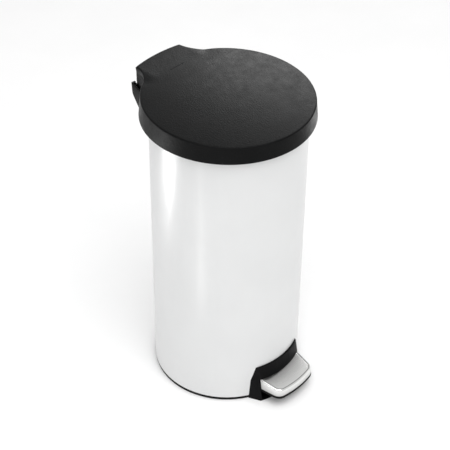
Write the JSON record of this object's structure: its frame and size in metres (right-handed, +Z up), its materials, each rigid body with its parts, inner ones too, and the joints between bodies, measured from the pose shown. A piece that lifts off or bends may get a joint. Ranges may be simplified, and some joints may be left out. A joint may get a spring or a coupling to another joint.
{
  "type": "pedal trash can",
  "caption": "Round kitchen waste bin opened by a foot pedal, with a hinged lid, a push-rod linkage and a lift-out inner bucket.",
  "frame": {"origin": "on the round body's axis, at the floor under the rubber feet", "axes": "+Z up; the pedal faces -Y and the lid's hinge is on +Y; +X is to the right when looking along +Y"},
  "size_m": [0.3206, 0.3884, 0.6324],
  "materials": {
    "painted_body": "satin",
    "lid_plastic": "fine grain",
    "housing_plastic": "fine grain",
    "base_plastic": "plain",
    "inner_plastic": "plain",
    "bucket_plastic": "satin",
    "pedal_steel": "polished and lightly brushed",
    "pad_plastic": "plain",
    "zinc_steel": "zinc plated",
    "fastener_steel": "zinc plated",
    "spring_steel": "drawn wire",
    "rubber": "moulded",
    "natural_nylon": "moulded",
    "damper_plastic": "moulded"
  },
  "bodies": {
    "can": {"body_shell": "painted_body", "base_ring": "base_plastic", "base_plate": "base_plastic", "rubber_feet": "rubber", "mechanism_cover": "inner_plastic", "cover_screws": "fastener_steel", "pedal_housing": "housing_plastic", "housing_screws": "fastener_steel", "pedal_axle": "zinc_steel", "axle_clips": "spring_steel", "rod_guides": "natural_nylon", "damper_cylinder": "damper_plastic", "damper_clips": "natural_nylon", "top_collar": "inner_plastic", "hinge_bracket": "housing_plastic", "bracket_screws": "fastener_steel", "hinge_pin": "zinc_steel", "hinge_pin_clips": "spring_steel"},
    "lid": {"lid_shell": "lid_plastic", "lid_liner": "inner_plastic", "liner_screws": "fastener_steel", "lid_bumpers": "rubber", "lid_crank": "zinc_steel", "crank_pin": "zinc_steel", "crank_screws": "fastener_steel", "hinge_bushes": "natural_nylon"},
    "pedal": {"pedal_cap": "pedal_steel", "pedal_core": "pad_plastic", "pedal_lever": "zinc_steel", "pedal_screws": "fastener_steel", "axle_bushes": "natural_nylon", "link_pin": "zinc_steel"},
    "rod": {"push_rod": "zinc_steel", "rod_foot": "natural_nylon", "rod_yoke": "natural_nylon", "spring_collar": "zinc_steel", "return_spring": "spring_steel", "damper_piston": "zinc_steel", "damper_bracket": "zinc_steel"},
    "bucket": {"inner_bucket": "bucket_plastic"}
  },
  "joints": [
    {"name": "lid_hinge", "type": "hinge", "parent": "can", "child": "lid", "pos_m": [0, 0.172, 0.6], "axis": [-1, 0, 0], "range_deg": [0, 75]},
    {"name": "pedal_pivot", "type": "hinge", "parent": "can", "child": "pedal", "pos_m": [0, -0.07, 0.02], "axis": [1, 0, 0], "range_deg": [0, 10.12]},
    {"name": "rod_lift", "type": "slide", "parent": "can", "child": "rod", "axis": [0, 0, 1], "range_m": [0, 0.0366], "stiffness_N_per_m": 60, "springref_m": -0.02, "deforming": ["return_spring"]},
    {"name": "bucket_lift", "type": "slide", "parent": "can", "child": "bucket", "axis": [0, 0, 1], "range_m": [0, 0.006]}
  ],
  "couplings": [
    {"joint": "pedal_pivot", "follows": "lid_hinge", "ratio": 0.13457},
    {"joint": "rod_lift", "follows": "lid_hinge", "m_per_rad": 0.027907}
  ]
}
